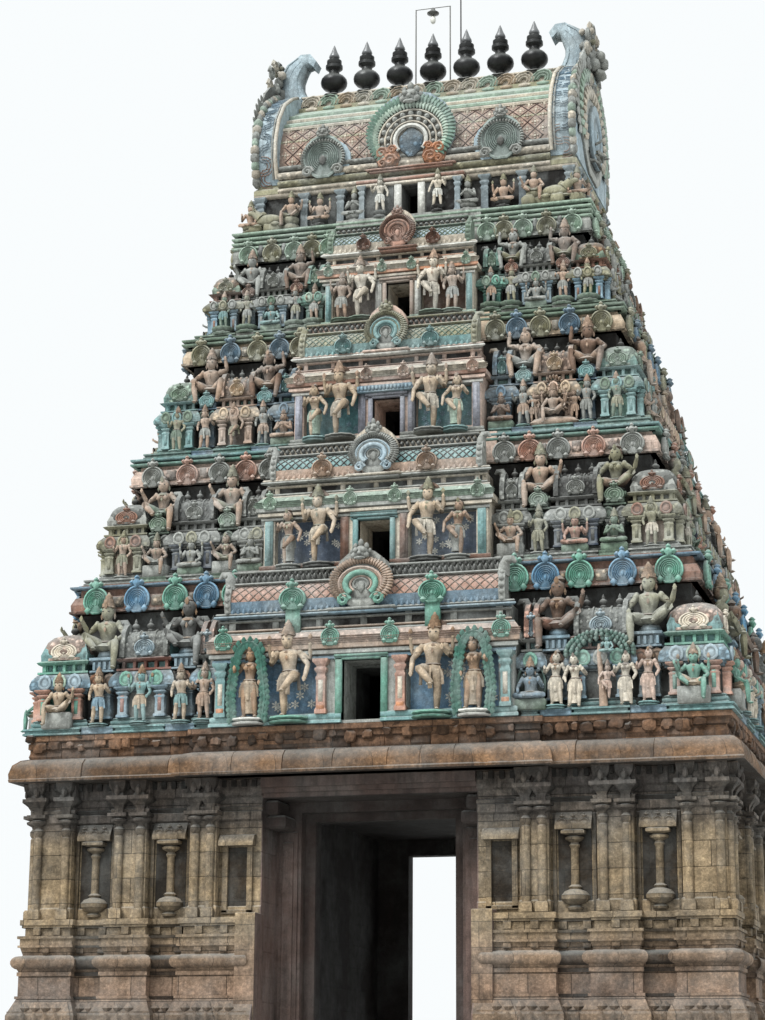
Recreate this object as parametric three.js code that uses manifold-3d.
// A five-tier South Indian temple gateway tower: a stone gate storey with a passage through it,
// four hollow plastered tiers with their shrine rows, a neck storey, and a barrel roof with
// seven finials. Millimetres, Z up, origin on the ground under the middle of the tower,
// and the front face looks towards -Y.
import * as THREE from 'three';
import { mergeVertices } from 'three/addons/utils/BufferGeometryUtils.js';
import Module from 'manifold-3d';

const wasm = await Module();
wasm.setup();

// Every level is this much shorter from the middle to its front than from the middle to its side
const WIDTH_LESS_DEPTH = 1800;

// Stone gate storey, half widths and heights
const STONE = {
  half: 6550,
  subBaseTop: 2900,
  plinthTop: 4650,
  wallTop: 7220,
  corniceTop: 7660,
  friezeTop: 8100,
  blockStep: 200,
  bhadraHalf: 3200,
  bhadraStep: 150,
};
const STONE_BLOCKS = [[2870, 3390], [4260, 4910], [5760, 6550]];
const STONE_SIDE_BLOCKS = [[0, 700], [1700, 2350], [3960, 4750]];

// Gate passage through the stone storey
const PASSAGE = {
  half: 2040,
  ceiling: 6840,
  lintelStep: 80,
  lintelLift: 180,
  frameFront: 3700,
  frameDepth: 600,
  jambHalf: 1560,
  doorHalf: 1360,
  doorTop: 6500,
  rebate: 250,
  rebateLift: 150,
};

// Tiers from the lowest up: floor level, underside of the eave, half widths, bay and door sizes
const TIERS = [
  { name: 'tier1', floor: 8100, eave: 10560, top: 11160, foot: 6720, half: 6550, core: 5960, eaveHalf: 6090,
    bayHalf: 2860, bayFront: 5050, wall: 900, doorHalf: 375, doorHeight: 1110, sideSala: true },
  { name: 'tier2', floor: 11160, eave: 13270, top: 13900, foot: 5930, half: 5660, core: 5140, eaveHalf: 5260,
    bayHalf: 2210, bayFront: 4300, wall: 800, doorHalf: 320, doorHeight: 880, sideSala: true },
  { name: 'tier3', floor: 13900, eave: 16000, top: 16600, foot: 5100, half: 4860, core: 4400, eaveHalf: 4520,
    bayHalf: 1900, bayFront: 3500, wall: 700, doorHalf: 285, doorHeight: 780, sideSala: false },
  { name: 'tier4', floor: 16600, eave: 18410, top: 19160, foot: 4360, half: 4140, core: 3640, eaveHalf: 3760,
    bayHalf: 1550, bayFront: 2700, wall: 600, doorHalf: 250, doorHeight: 760, sideSala: false },
];

// Heights inside a tier, as shares of the height from its floor to its eave
const SHARE = {
  foot: 0.05,
  ledge: 0.36,
  kapota: 0.49,
  neck: 0.59,
  roof: 0.82,
  bayEave: 0.57,
  bayEaveTop: 0.70,
  bayNeck: 0.87,
  bayRoof: 1.10,
  bayRail: 1.20,
  nasiTop: 1.32,
};

// Blocks along a face, as shares of the half width: the corner shrine, the oblong shrine
// and the narrow shrine beside the middle bay
const CORNER_BLOCK = 0.855;
const OBLONG_BLOCK = [0.595, 0.75];
const NARROW_BLOCK = 0.50;
const BLOCK_STEP = 150;
const DOOR_SILL = 60;
const SHRINE_INSET = 70;

// Blocks along a tier's side face, as shares of its half depth: the middle one, wider where it stands
// alone, and the oblong one beside it
const SIDE_MIDDLE = 0.25;
const SIDE_MIDDLE_ALONE = 0.36;
const SIDE_OBLONG = [0.43, 0.62];

const KAPOTA_OVERHANG = 100;
const EAVE_OVERHANG = 70;
const BAY_MARGIN = 120;

// Neck storey and roof
const NECK = { floor: 19160, top: 20020, half: 3350, bayHalf: 1100, bayFront: 1850, wall: 350, doorHalf: 175,
  doorHeight: 660, pilasterStep: 70 };
const ROOF = {
  half: 2950,
  curb: 20280,
  curbHalf: 3410,
  shell: 260,
  crownShell: 208,
  crownFrom: 21500,
  crestFoot: 22400,
  crestStep: 22560,
  crestTop: 22900,
  crestHalfDepth: 190,
  crestStepHalfDepth: 420,
};
// Outer section of the vault as half depth and height, from the curb up
const VAULT_SECTION = [
  [1600, 20280], [1660, 20750], [1600, 21250], [1370, 21700], [960, 22120], [420, 22460],
];

// Gable arches at both ends of the roof
const GABLE = {
  inner: 2950,
  outer: 3480,
  footHalf: 1650,
  bulge: 1820,
  bulgeHeight: 21250,
  shoulder: 22250,
  top: 23050,
  hornHalfDepth: 200,
};
const FINIAL_COUNT = 7;
const FINIAL_SPACING = 758.5;
const FINIAL_SIDES = 10;

// Lamp frame over the middle finial, and the lightning rod behind the ridge
const LAMP_FRAME = { postX: 390, barHalf: 25, top: 24800, wireHalf: 8, lampHalf: 45, lampTop: 24550,
  lampFoot: 24400 };
const ROD = { x: 550, y: 330, length: 2800, tipRadius: 14, footRadius: 18, sides: 8 };

// Gap between solids that rest on each other
const CLEARANCE = 0.3;

// Colours, as seen
const stone = { color: 0x7d6c5a, roughness: 0.95, metalness: 0 };
const sooty = { color: 0x4b4038, roughness: 0.95, metalness: 0 };
const plaster = { color: 0x8f9a98, roughness: 0.9, metalness: 0 };
const turquoise = { color: 0x5f9a96, roughness: 0.9, metalness: 0 };
const salmon = { color: 0xb08a7c, roughness: 0.9, metalness: 0 };
const terracotta = { color: 0xa9604a, roughness: 0.9, metalness: 0 };
const bluePaint = { color: 0x4f7f9e, roughness: 0.9, metalness: 0 };
const blackMetal = { color: 0x2b2b2e, roughness: 0.45, metalness: 0.8 };
const greyMetal = { color: 0x85888a, roughness: 0.5, metalness: 0.8 };

const gopuram = new THREE.Group();

/** Turns a closed geometry into a solid for joining and cutting. */
function solidOf(geometry) {
  const bare = new THREE.BufferGeometry();
  const flat = geometry.index ? geometry.toNonIndexed() : geometry;
  bare.setAttribute('position', flat.getAttribute('position').clone());
  const merged = mergeVertices(bare, 1e-3);
  return new wasm.Manifold(new wasm.Mesh({
    numProp: 3,
    vertProperties: new Float32Array(merged.getAttribute('position').array),
    triVerts: new Uint32Array(merged.index.array),
  }));
}

/** Adds a solid to the group as a named mesh. */
function piece(name, solid, look) {
  const { vertProperties, triVerts } = solid.getMesh();
  const geometry = new THREE.BufferGeometry();
  geometry.setAttribute('position', new THREE.BufferAttribute(new Float32Array(vertProperties), 3));
  geometry.setIndex(new THREE.BufferAttribute(new Uint32Array(triVerts), 1));
  geometry.computeVertexNormals();
  const mesh = new THREE.Mesh(geometry, new THREE.MeshStandardMaterial(look));
  mesh.name = name;
  gopuram.add(mesh);
}

/** Joins a list of solids into one. */
function join(solids) {
  return solids.reduce((whole, next) => whole.add(next));
}

/** Box between two corners. */
function box(x0, x1, y0, y1, z0, z1) {
  const geometry = new THREE.BoxGeometry(x1 - x0, y1 - y0, z1 - z0);
  geometry.translate((x0 + x1) / 2, (y0 + y1) / 2, (z0 + z1) / 2);
  return solidOf(geometry);
}

/** Box whose middle is on the plane x = 0. */
function middleBox(half, y0, y1, z0, z1) {
  return box(-half, half, y0, y1, z0, z1);
}

/** Upright solid on an outline of right angles: each profile point moves the outline out and up. */
function moulded(outline, profile) {
  const count = outline.length;
  const outward = outline.map((point, i) => {
    const before = outline[(i + count - 1) % count];
    const after = outline[(i + 1) % count];
    const normal = (a, b) => [Math.sign(b[1] - a[1]), -Math.sign(b[0] - a[0])];
    const [n1, n2] = [normal(before, point), normal(point, after)];
    return [n1[0] + n2[0], n1[1] + n2[1]];
  });
  const rings = profile.map(([out, z]) => outline.map(([x, y], i) => [
    x + out * outward[i][0],
    y + out * outward[i][1],
    z,
  ]));
  const positions = [];
  const face = (a, b, c) => positions.push(...a, ...b, ...c);
  for (let r = 0; r + 1 < rings.length; r += 1) {
    for (let i = 0; i < count; i += 1) {
      const j = (i + 1) % count;
      face(rings[r][i], rings[r][j], rings[r + 1][j]);
      face(rings[r][i], rings[r + 1][j], rings[r + 1][i]);
    }
  }
  const cap = (ring, up) => {
    const contour = ring.map(([x, y]) => new THREE.Vector2(x, y));
    for (const [a, b, c] of THREE.ShapeUtils.triangulateShape(contour, [])) {
      if (up) face(ring[a], ring[b], ring[c]);
      else face(ring[a], ring[c], ring[b]);
    }
  };
  cap(rings[0], false);
  cap(rings[rings.length - 1], true);
  const geometry = new THREE.BufferGeometry();
  geometry.setAttribute('position', new THREE.Float32BufferAttribute(positions, 3));
  return solidOf(geometry);
}

/** Rectangle about the origin, counter-clockwise. */
function rectangle(halfWidth, halfDepth) {
  return [[-halfWidth, -halfDepth], [halfWidth, -halfDepth], [halfWidth, halfDepth], [-halfWidth, halfDepth]];
}

/** Rectangle around a middle point, counter-clockwise. */
function rectangleAt(x, y, halfWidth, halfDepth) {
  return rectangle(halfWidth, halfDepth).map(([dx, dy]) => [x + dx, y + dy]);
}

/** Points of one face from its left corner on, where blocks stand out from the recessed face. */
function facePoints(halfLength, out, blocks, step) {
  const all = [];
  for (const [from, to] of blocks) {
    if (from === 0) all.push([-to, to]);
    else all.push([-to, -from], [from, to]);
  }
  all.sort((a, b) => a[0] - b[0]);
  const points = [];
  for (const [from, to] of all) {
    if (from > -halfLength) points.push([from, out - step]);
    points.push([from, out]);
    if (to < halfLength) points.push([to, out], [to, out - step]);
  }
  return points;
}

/** Plan with blocks on all four faces, counter-clockwise from the front left corner. */
function steppedPlan(halfWidth, halfDepth, frontBlocks, sideBlocks, step) {
  const front = facePoints(halfWidth, halfDepth, frontBlocks, step);
  const side = facePoints(halfDepth, halfWidth, sideBlocks, step);
  return [
    ...front.map(([along, out]) => [along, -out]),
    ...side.map(([along, out]) => [out, along]),
    ...front.map(([along, out]) => [-along, out]),
    ...side.map(([along, out]) => [-out, -along]),
  ];
}

/** Flat outline in a plane across X, given as y and z, made as thick as x0 to x1. */
function slabAcrossX(outline, x0, x1) {
  const shape = new THREE.Shape(outline.map(([y, z]) => new THREE.Vector2(y, z)));
  const geometry = new THREE.ExtrudeGeometry(shape, { depth: x1 - x0, bevelEnabled: false });
  geometry.rotateX(Math.PI / 2);
  geometry.rotateZ(Math.PI / 2);
  geometry.translate(x0, 0, 0);
  return solidOf(geometry);
}

/** Flat outline in a plane across Y, given as x and z, made as thick as y0 to y1. */
function slabAcrossY(outline, y0, y1) {
  const shape = new THREE.Shape(outline.map(([x, z]) => new THREE.Vector2(x, z)));
  const geometry = new THREE.ExtrudeGeometry(shape, { depth: y1 - y0, bevelEnabled: false });
  geometry.rotateX(Math.PI / 2);
  geometry.translate(0, y1, 0);
  return solidOf(geometry);
}

/** Horseshoe outline: a round arch on a waist, with its middle at x. */
function horseshoe(x, radius, z0, z1) {
  const centre = Math.max(z0 + radius * 0.6, z1 - radius);
  const points = [];
  const steps = 12;
  const start = -Math.asin(Math.min(0.9, (centre - z0) / radius));
  for (let i = 0; i <= steps; i += 1) {
    const angle = start + (Math.PI - 2 * start) * i / steps;
    points.push([x + radius * Math.cos(angle), centre + radius * Math.sin(angle)]);
  }
  points.push([points[steps][0], z0], [points[0][0], z0]);
  return points;
}

// Stone storey
function stoneStorey() {
  const depth = STONE.half - WIDTH_LESS_DEPTH;
  const footPlan = steppedPlan(STONE.half, depth, [[0, STONE_BLOCKS[0][1]], ...STONE_BLOCKS.slice(1)],
    STONE_SIDE_BLOCKS, STONE.blockStep);
  const wallPlan = steppedPlan(STONE.half, depth, STONE_BLOCKS, STONE_SIDE_BLOCKS, STONE.blockStep);
  const plinth = moulded(footPlan, [
    [330, 0], [330, 700], [140, 860], [140, 2150], [290, 2350], [290, STONE.subBaseTop], [130, 3240],
    [130, 3690], [190, 3800], [190, 3920], [80, 4000], [130, 4160], [130, 4320], [60, 4340],
    [60, 4540], [140, STONE.plinthTop - 100], [140, STONE.plinthTop],
  ]);
  const wall = moulded(wallPlan, [
    [30, STONE.plinthTop], [30, 4850], [0, 4880], [0, 6420], [40, 6460],
    [40, 6600], [0, 6640], [0, 6860], [60, 6900], [60, STONE.wallTop],
  ]);
  const reach = STONE.half * 2;
  for (const [side, x0, x1] of [['left', -reach, -PASSAGE.half], ['right', PASSAGE.half, reach]]) {
    const flank = box(x0, x1, -reach, reach, -1000, STONE.wallTop + 1000);
    piece(`plinth_${side}`, plinth.intersect(flank), stone);
    piece(`stone_wall_${side}`, wall.intersect(flank), stone);
  }

  for (const [end, facing] of [['front', -1], ['back', 1]]) {
    const near = PASSAGE.frameFront;
    const far = near - PASSAGE.frameDepth;
    const span = (y0, y1) => (facing < 0 ? [-y1, -y0] : [y0, y1]);
    const body = middleBox(PASSAGE.half, ...span(far, near), 0, PASSAGE.ceiling);
    const outerRebate = middleBox(PASSAGE.jambHalf, ...span(near - PASSAGE.rebate, near + 10), -10,
      PASSAGE.doorTop + PASSAGE.rebateLift);
    const opening = middleBox(PASSAGE.doorHalf, ...span(far - 10, near + 10), -10, PASSAGE.doorTop);
    piece(`gate_frame_${end}`, body.subtract(outerRebate).subtract(opening), stone);
  }

  const recessed = depth - STONE.blockStep;
  const lintel = [middleBox(PASSAGE.half, -recessed, recessed, PASSAGE.ceiling, STONE.wallTop)];
  for (let i = 1; i <= 2; i += 1) {
    const y = recessed + i * PASSAGE.lintelStep;
    lintel.push(middleBox(PASSAGE.half, -y, y, PASSAGE.ceiling + i * PASSAGE.lintelLift / 2, STONE.wallTop));
  }
  piece('passage_ceiling', join(lintel), stone);

  const rim = rectangle(STONE.half, depth);
  const bhadra = rectangle(STONE.bhadraHalf, depth + STONE.bhadraStep);
  const corniceProfile = [
    [60, STONE.wallTop], [350, STONE.wallTop], [360, 7350], [310, 7520], [190, 7620], [120, STONE.corniceTop],
  ];
  const friezeProfile = [
    [60, STONE.corniceTop], [60, 7960], [170, 8000], [170, STONE.friezeTop],
  ];
  piece('stone_cornice', moulded(rim, corniceProfile).add(moulded(bhadra, corniceProfile)), stone);
  piece('stone_frieze', moulded(rim, friezeProfile).add(moulded(bhadra, friezeProfile)), sooty);
}

/** Level in a tier at a share of its height. */
function levelIn(tier, share) {
  return Math.round(tier.floor + (tier.eave - tier.floor) * share);
}

/** Whole millimetres. */
function mm(value) {
  return Math.round(value);
}

/** Blocks of a tier's front and side faces. */
function tierBlocks(tier) {
  const depth = tier.half - WIDTH_LESS_DEPTH;
  const corner = tier.half - mm(tier.half * CORNER_BLOCK);
  const oblong = OBLONG_BLOCK.map((share) => mm(tier.half * share));
  const front = [[tier.bayHalf, mm(tier.half * NARROW_BLOCK)], oblong, [tier.half - corner, tier.half]];
  const side = [[0, mm(depth * (tier.sideSala ? SIDE_MIDDLE : SIDE_MIDDLE_ALONE))]];
  if (tier.sideSala) side.push(SIDE_OBLONG.map((share) => mm(depth * share)));
  side.push([depth - corner, depth]);
  return { front, side, depth };
}

/** Hollow walls of a tier with a doorway front and back. */
function tierWalls(tier) {
  const { front, side, depth } = tierBlocks(tier);
  const plan = steppedPlan(tier.half, depth, front, side, BLOCK_STEP);
  const ledge = levelIn(tier, SHARE.ledge);
  const foot = moulded(rectangle(tier.foot, tier.foot - WIDTH_LESS_DEPTH), [
    [0, tier.floor], [0, levelIn(tier, SHARE.foot)],
  ]);
  const lower = foot.add(moulded(plan, [[0, tier.floor], [0, ledge]]));
  const coreDepth = tier.core - WIDTH_LESS_DEPTH;
  const upper = moulded(rectangle(tier.core, coreDepth), [[0, tier.floor], [0, tier.eave]]);
  const room = moulded(rectangle(tier.core - tier.wall, coreDepth - tier.wall), [
    [0, tier.floor - 10], [0, tier.eave + 10],
  ]);
  const reach = tier.half * 2;
  const doorway = middleBox(tier.doorHalf, -reach, reach, tier.floor + DOOR_SILL,
    tier.floor + DOOR_SILL + tier.doorHeight);
  const bays = [-1, 1].map((facing) => middleBox(tier.bayHalf, ...baySpan(facing, coreDepth, reach),
    tier.floor - 10, ledge + 10));
  const solid = lower.subtract(join(bays)).add(upper).subtract(room).subtract(doorway);
  piece(`${tier.name}_walls`, solid, plaster);
}

/** Span along Y between two distances from the middle, on the front or the back. */
function baySpan(facing, near, far) {
  return facing < 0 ? [-far, -near] : [near, far];
}

/** Square shrine top: a neck and a four-sided dome, with its middle at x and y. */
function squareTop(tier, x, y, half) {
  const [z0, z1, z2] = [SHARE.kapota, SHARE.neck, SHARE.roof].map((share) => levelIn(tier, share));
  const rise = z2 - z1;
  return moulded(rectangleAt(x, y, half, half), [
    [-90, z0], [-90, z1], [20, z1], [30, z1 + mm(rise * 0.25)], [-40, z1 + mm(rise * 0.6)],
    [mm(-half * 0.55), z1 + mm(rise * 0.88)], [mm(-half * 0.8), z2],
  ]);
}

/** Half section of a small barrel roof as shares of its half depth and height. */
const BARREL = [[1.0, 0], [1.08, 0.3], [0.92, 0.65], [0.5, 0.93], [0, 1]];

/** Barrel section about a middle line, as across and up. */
function barrelOutline(middle, half, z0, rise) {
  const right = BARREL.map(([across, up]) => [middle + half * across, z0 + rise * up]);
  const left = BARREL.slice(0, -1).reverse().map(([across, up]) => [middle - half * across, z0 + rise * up]);
  return [...right, ...left];
}

/** Oblong shrine top: a neck and a barrel roof that runs along the face. */
function oblongTop(tier, along, halfAlong, out, deep, turned) {
  const [z0, z1, z2] = [SHARE.kapota, SHARE.neck, SHARE.roof].map((share) => levelIn(tier, share));
  const neckHalf = halfAlong - 60;
  const sign = Math.sign(out);
  const middle = out - sign * deep;
  const span = [middle, out - sign * 60].sort((a, b) => a - b);
  const outline = barrelOutline(middle, deep, z1, z2 - z1);
  if (turned) {
    return box(span[0], span[1], along - neckHalf, along + neckHalf, z0, z1 + 20)
      .add(slabAcrossY(outline, along - halfAlong, along + halfAlong));
  }
  return box(along - neckHalf, along + neckHalf, span[0], span[1], z0, z1 + 20)
    .add(slabAcrossX(outline, along - halfAlong, along + halfAlong));
}

/** Shrine rows of a tier, one to each side of the middle bays. */
function tierShrines(tier) {
  const { front, side, depth } = tierBlocks(tier);
  const plan = steppedPlan(tier.half, depth, front, side, BLOCK_STEP);
  const [z0, z1] = [levelIn(tier, SHARE.ledge), levelIn(tier, SHARE.kapota)];
  const rise = z1 - z0;
  const kapota = moulded(plan, [
    [KAPOTA_OVERHANG, z0], [KAPOTA_OVERHANG, z0 + mm(rise * 0.35)], [0, z1],
  ]);
  const tops = [];
  const cornerHalf = (front[2][1] - front[2][0]) / 2;
  const salaHalf = (front[1][1] - front[1][0]) / 2;
  const deep = mm(tier.half - tier.core + 200) / 2 + 60;
  for (const facing of [-1, 1]) {
    for (const sign of [-1, 1]) {
      const corner = [sign * (tier.half - cornerHalf), facing * (depth - cornerHalf)];
      tops.push(squareTop(tier, ...corner, cornerHalf - 20));
      const along = sign * (front[1][0] + front[1][1]) / 2;
      tops.push(oblongTop(tier, along, salaHalf - 20, facing * (depth - SHRINE_INSET), deep, false));
      const narrow = sign * (front[0][0] + front[0][1]) / 2;
      const narrowHalf = (front[0][1] - front[0][0]) / 2;
      tops.push(oblongTop(tier, narrow, narrowHalf - 20, facing * (depth - SHRINE_INSET), deep, false));
    }
  }
  for (const sign of [-1, 1]) {
    for (const [from, to] of side.slice(0, -1)) {
      const half = from === 0 ? to : (to - from) / 2;
      for (const along of from === 0 ? [0] : [-(from + to) / 2, (from + to) / 2]) {
        tops.push(oblongTop(tier, along, half - 20, sign * (tier.half - SHRINE_INSET), deep, true));
      }
    }
  }
  const coreDepth = tier.core - WIDTH_LESS_DEPTH;
  const core = moulded(rectangle(tier.core, coreDepth), [[0, z0 - 100], [0, tier.top]]);
  const reach = tier.half * 2;
  const row = join([kapota, ...tops]).subtract(core);
  const beside = tier.bayHalf + BAY_MARGIN;
  for (const [name, x0, x1] of [['left', -reach, -beside], ['right', beside, reach]]) {
    const flank = box(x0, x1, -reach, reach, z0 - 100, tier.top);
    piece(`${tier.name}_shrines_${name}`, row.intersect(flank), turquoise);
  }
}

/** Middle bay on the front or back of a tier: doorway, niches, eave, barrel band and horseshoe. */
function tierBay(tier, end, facing) {
  const at = (share) => levelIn(tier, share);
  const coreDepth = tier.core - WIDTH_LESS_DEPTH;
  const front = tier.bayFront;
  const half = tier.bayHalf;
  const block = (halfWidth, out, z0, z1) => middleBox(halfWidth, ...baySpan(facing, coreDepth, out), z0, z1);
  const solids = [
    block(half, front, tier.floor, at(SHARE.bayEave)),
    block(half - 120, front - 130, at(SHARE.bayEaveTop), at(SHARE.bayNeck)),
  ];
  const middle = (coreDepth + front) / 2 * facing;
  const eaveRise = at(SHARE.bayEaveTop) - at(SHARE.bayEave);
  const eave = moulded(rectangleAt(0, middle, half, (front - coreDepth) / 2), [
    [0, at(SHARE.bayEave)], [KAPOTA_OVERHANG, at(SHARE.bayEave)],
    [KAPOTA_OVERHANG, at(SHARE.bayEave) + mm(eaveRise * 0.35)],
    [0, at(SHARE.bayEave) + mm(eaveRise * 0.85)], [-60, at(SHARE.bayEaveTop)],
  ]);
  const keep = block(half + KAPOTA_OVERHANG, front + KAPOTA_OVERHANG, tier.floor, at(SHARE.bayRail));
  solids.push(eave.intersect(keep));
  const barrelHalf = mm(half * 0.91);
  const barrelRise = at(SHARE.bayRoof) - at(SHARE.bayNeck);
  const section = [
    [coreDepth, 0], [front - 60, 0], [front - 10, 0.35], [front - 40, 0.7], [front - 170, 1], [coreDepth, 1],
  ];
  const outline = section.map(([out, up]) => [facing * out, at(SHARE.bayNeck) + mm(barrelRise * up)]);
  if (facing < 0) outline.reverse();
  solids.push(slabAcrossX(outline, -barrelHalf, barrelHalf));
  solids.push(block(barrelHalf - 60, front - 220, at(SHARE.bayRoof), at(SHARE.bayRail)));
  const nasiHalf = mm(half * 0.16 + 90);
  const nasi = horseshoe(0, nasiHalf, at(SHARE.bayNeck) - 20, at(SHARE.nasiTop));
  solids.push(slabAcrossY(nasi, ...baySpan(facing, front - 260, front + 40)));

  const reach = tier.half * 2;
  const doorway = middleBox(tier.doorHalf, -reach, reach, tier.floor + DOOR_SILL,
    tier.floor + DOOR_SILL + tier.doorHeight);
  const niches = [-1, 1].map((sign) => {
    const xs = [sign * mm(half * 0.30), sign * mm(half * 0.90)].sort((a, b) => a - b);
    return box(...xs, ...baySpan(facing, front - 220, front + 10), at(0.08), at(0.53));
  });
  const eaveBlock = middleBox(reach, ...baySpan(facing, 0, tier.eaveHalf - WIDTH_LESS_DEPTH + EAVE_OVERHANG),
    tier.eave, tier.top + 500);
  const solid = join(solids).subtract(doorway).subtract(join(niches)).subtract(eaveBlock);
  piece(`${tier.name}_bay_${end}`, solid, salmon);
}

/** Eave slab over a tier, which is also the floor of the next one. */
function tierEave(tier, nextBayHalf) {
  const depth = tier.eaveHalf - WIDTH_LESS_DEPTH;
  const rise = tier.top - tier.eave;
  const up = (share) => tier.eave + mm(rise * share);
  const slab = moulded(rectangle(tier.eaveHalf, depth), [
    [0, tier.eave], [EAVE_OVERHANG - 10, up(0.08)], [EAVE_OVERHANG, up(0.3)], [0, up(0.55)],
    [-80, up(0.6)], [-80, tier.top],
  ]);
  const seatHalf = Math.max(nextBayHalf + BAY_MARGIN, tier.bayHalf);
  const seat = middleBox(seatHalf, -depth - EAVE_OVERHANG, depth + EAVE_OVERHANG, tier.eave, tier.top);
  piece(`${tier.name}_eave`, slab.add(seat), bluePaint);
}

// Neck storey under the roof
function neckStorey() {
  const depth = NECK.half - WIDTH_LESS_DEPTH;
  const plan = steppedPlan(NECK.half, depth, [[0, NECK.bayHalf], [1900, 2150], [2950, NECK.half]],
    [[0, 300], [depth - 250, depth]], NECK.pilasterStep);
  const walls = moulded(plan, [
    [90, NECK.floor], [0, NECK.floor + 110], [0, NECK.top - 120], [60, NECK.top],
  ]);
  const bays = middleBox(NECK.bayHalf, -NECK.bayFront, NECK.bayFront, NECK.floor, NECK.top);
  const room = moulded(rectangle(NECK.half - NECK.wall, depth - NECK.wall), [
    [0, NECK.floor - 10], [0, NECK.top + 10],
  ]);
  const sill = NECK.floor + DOOR_SILL;
  const doorway = middleBox(NECK.doorHalf, -NECK.half, NECK.half, sill, sill + NECK.doorHeight);
  piece('tier5_walls', walls.add(bays).subtract(room).subtract(doorway), plaster);
}

/** Closed outline of the vault from its half section, carried down to a level. */
function vaultOutline(half, base) {
  const other = [...half].reverse().map(([y, z]) => [-y, z]);
  return [[half[0][0], base], ...half, ...other, [-half[0][0], base]];
}

// Barrel roof with its curb and ridge
function roofVault() {
  const outer = slabAcrossX(vaultOutline(VAULT_SECTION, NECK.top), -ROOF.half, ROOF.half);
  const thinner = VAULT_SECTION.map(([y, z]) => (
    [y - ROOF.shell, z > ROOF.crownFrom ? z - ROOF.crownShell : z]
  ));
  const inner = slabAcrossX(vaultOutline(thinner, NECK.top - 100), -ROOF.half - 10, ROOF.half + 10);
  const depth = ROOF.curbHalf - WIDTH_LESS_DEPTH;
  const curb = moulded(rectangle(ROOF.curbHalf, depth), [
    [0, NECK.top], [90, NECK.top + 40], [90, NECK.top + 140], [20, ROOF.curb - 40], [20, ROOF.curb],
  ]);
  const well = middleBox(ROOF.half, -depth + ROOF.shell, depth - ROOF.shell, NECK.top - 100, ROOF.curb + 100);
  const crest = [
    middleBox(ROOF.half, -ROOF.crestStepHalfDepth, ROOF.crestStepHalfDepth, ROOF.crestFoot, ROOF.crestStep),
    middleBox(ROOF.half, -ROOF.crestHalfDepth, ROOF.crestHalfDepth, ROOF.crestStep, ROOF.crestTop),
  ];
  piece('roof_vault', outer.subtract(inner).add(curb).subtract(well).add(join(crest)), terracotta);
}

// Gable arches with curled crests
function gable(name, sign) {
  const half = [
    [GABLE.footHalf, ROOF.curb], [GABLE.bulge, 20800], [GABLE.bulge, GABLE.bulgeHeight],
    [1640, 21750], [1280, GABLE.shoulder], [760, 22620], [300, 22860], [120, GABLE.top],
  ];
  const outline = [...half, ...[...half].reverse().map(([y, z]) => [-y, z])];
  const xs = [sign * GABLE.inner, sign * GABLE.outer].sort((a, b) => a - b);
  const plate = slabAcrossX(outline, ...xs);
  const horn = [
    [3380, 22700], [3480, 23000], [3430, 23400], [3260, 23760], [3000, 23970], [2780, 23960], [2640, 23780],
    [2700, 23640], [2820, 23760], [2960, 23720], [3060, 23500], [3050, 23150], [2960, 22920], [3000, 22700],
  ].map(([x, z]) => [sign * x, z]);
  if (sign < 0) horn.reverse();
  const crest = slabAcrossY(horn, -GABLE.hornHalfDepth, GABLE.hornHalfDepth);
  const crestClear = middleBox(ROOF.half, -1000, 1000, ROOF.crestFoot - 500, ROOF.crestTop + 1);
  piece(name, plate.add(crest).subtract(crestClear), terracotta);
}

/** Horseshoe arches that stand on the curb in front of or behind the roof. */
function roofNasi(end, facing) {
  const depth = ROOF.curbHalf - WIDTH_LESS_DEPTH;
  const span = baySpan(facing, depth - 550, depth + 130);
  const big = slabAcrossY(horseshoe(0, 940, ROOF.curb, 22050), ...span);
  const small = [-1, 1].map((sign) => slabAcrossY(horseshoe(sign * 1800, 470, ROOF.curb, 21150), ...span));
  const link = middleBox(1900, ...baySpan(facing, depth - 550, depth + 40), ROOF.curb, ROOF.curb + 250);
  const clear = VAULT_SECTION.map(([y, z]) => [y + CLEARANCE, z]);
  const vault = slabAcrossX(vaultOutline(clear, NECK.top), -ROOF.half - 10, ROOF.half + 10);
  piece(`roof_nasi_${end}`, join([big, ...small, link]).subtract(vault), turquoise);
}

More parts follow.
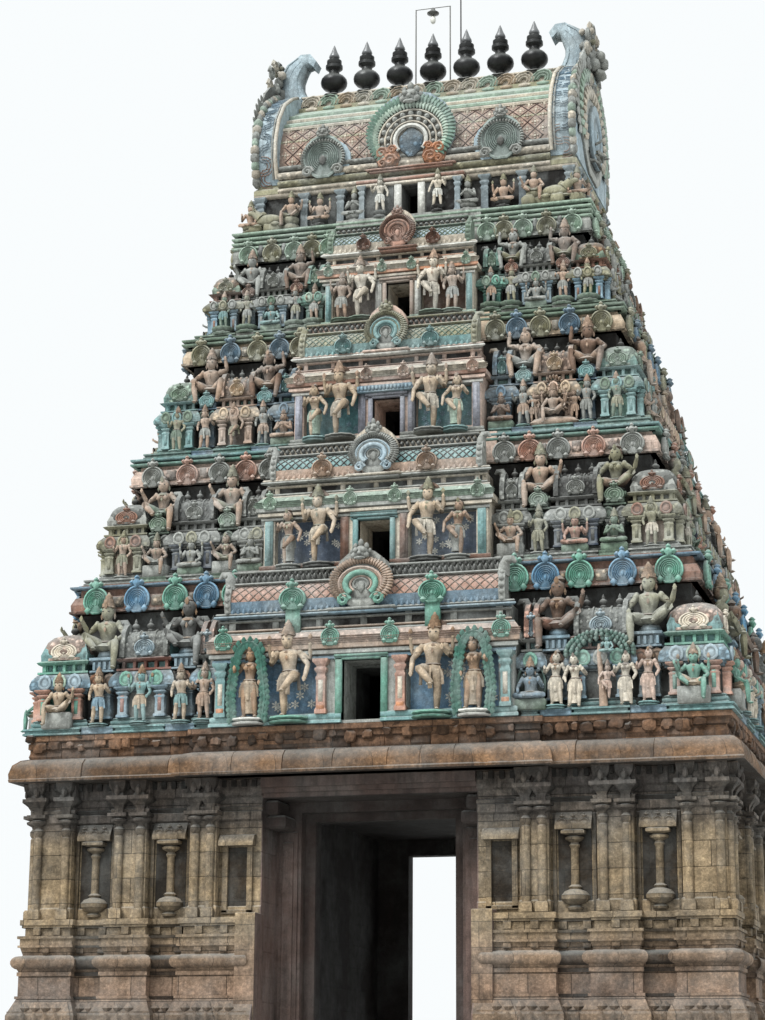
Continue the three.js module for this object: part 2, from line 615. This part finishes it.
// Finials in a row on the ridge
function finial(index) {
  const z0 = ROOF.crestTop;
  const profile = [
    [0, 0], [225, 0], [225, 60], [105, 120], [285, 340], [270, 450], [90, 620], [90, 690], [175, 720],
    [80, 770], [125, 900], [50, 1030], [12, 1290], [0, 1290],
  ].map(([radius, z]) => new THREE.Vector2(radius, z));
  const geometry = new THREE.LatheGeometry(profile, FINIAL_SIDES);
  geometry.rotateX(Math.PI / 2);
  const x = (index - (FINIAL_COUNT + 1) / 2) * FINIAL_SPACING;
  geometry.translate(x, 0, z0);
  piece(`finial_${index}`, solidOf(geometry), blackMetal);
}

// Lamp frame and lightning rod
function roofFixtures() {
  const { postX, barHalf, top, wireHalf, lampHalf, lampTop, lampFoot } = LAMP_FRAME;
  const bars = [
    box(-postX - barHalf, -postX + barHalf, -barHalf, barHalf, ROOF.crestTop, top),
    box(postX - barHalf, postX + barHalf, -barHalf, barHalf, ROOF.crestTop, top),
    box(-postX - barHalf, postX + barHalf, -barHalf, barHalf, top - 2 * barHalf, top),
    box(-wireHalf, wireHalf, -wireHalf, wireHalf, lampTop, top - barHalf),
    box(-lampHalf, lampHalf, -lampHalf, lampHalf, lampFoot, lampTop),
  ];
  piece('lamp_frame', join(bars), greyMetal);
  const rod = new THREE.CylinderGeometry(ROD.tipRadius, ROD.footRadius, ROD.length, ROD.sides);
  rod.rotateX(Math.PI / 2);
  rod.translate(ROD.x, ROD.y, ROOF.crestStep + ROD.length / 2);
  piece('lightning_rod', solidOf(rod), greyMetal);
}

stoneStorey();
TIERS.forEach((tier, index) => {
  const nextBayHalf = index + 1 < TIERS.length ? TIERS[index + 1].bayHalf : NECK.bayHalf;
  tierWalls(tier);
  tierShrines(tier);
  tierBay(tier, 'front', -1);
  tierBay(tier, 'back', 1);
  tierEave(tier, nextBayHalf);
});
neckStorey();
roofVault();
gable('gable_left', -1);
gable('gable_right', 1);
roofNasi('front', -1);
roofNasi('back', 1);
for (let index = 1; index <= FINIAL_COUNT; index += 1) finial(index);
roofFixtures();

export default gopuram;
